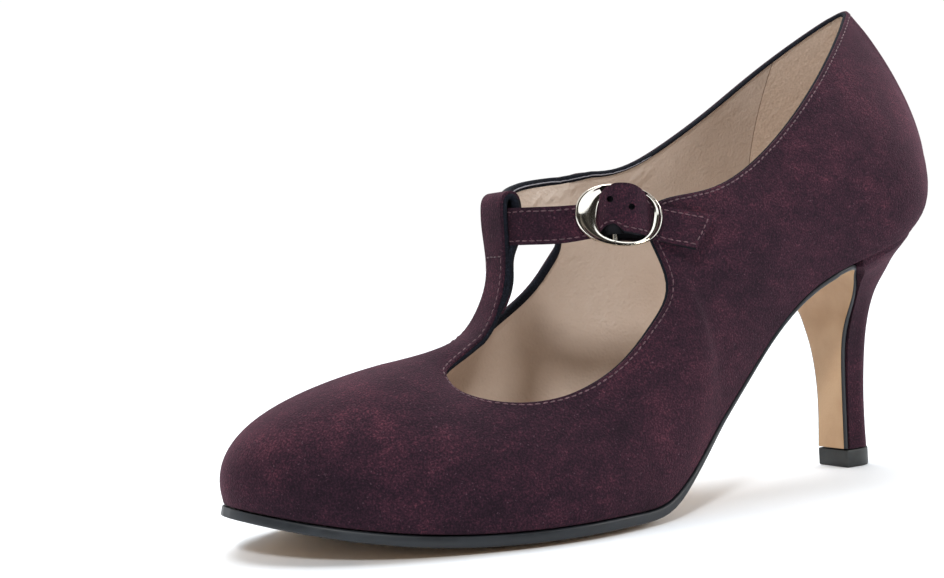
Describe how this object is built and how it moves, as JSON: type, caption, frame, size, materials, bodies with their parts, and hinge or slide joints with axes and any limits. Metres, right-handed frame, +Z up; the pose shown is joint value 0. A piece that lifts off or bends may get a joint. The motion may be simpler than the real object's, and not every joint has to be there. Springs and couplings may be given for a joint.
{
  "type": "strap pump",
  "caption": "Women's left T-strap pump in plum suede with a rounded toe, open sides, an oval metal buckle, leather sole and a slim covered heel.",
  "frame": {"origin": "middle of the shoe's footprint box, on the floor under the sole and the top lift", "axes": "+X towards the toe, +Y towards the outer side of the left foot, +Z up"},
  "size_m": [0.2334, 0.0848, 0.1404],
  "materials": {
    "suede": "matte",
    "lining_leather": "satin",
    "sole_leather": "satin",
    "top_lift_rubber": "matte",
    "buckle_metal": "polished",
    "elastic": "matte"
  },
  "bodies": {
    "root": {"upper": "suede", "outsole": "sole_leather", "insole": "lining_leather", "heel": "suede", "top_lift": "top_lift_rubber", "strap": "suede", "buckle": "buckle_metal", "chape": "elastic"}
  },
  "joints": []
}
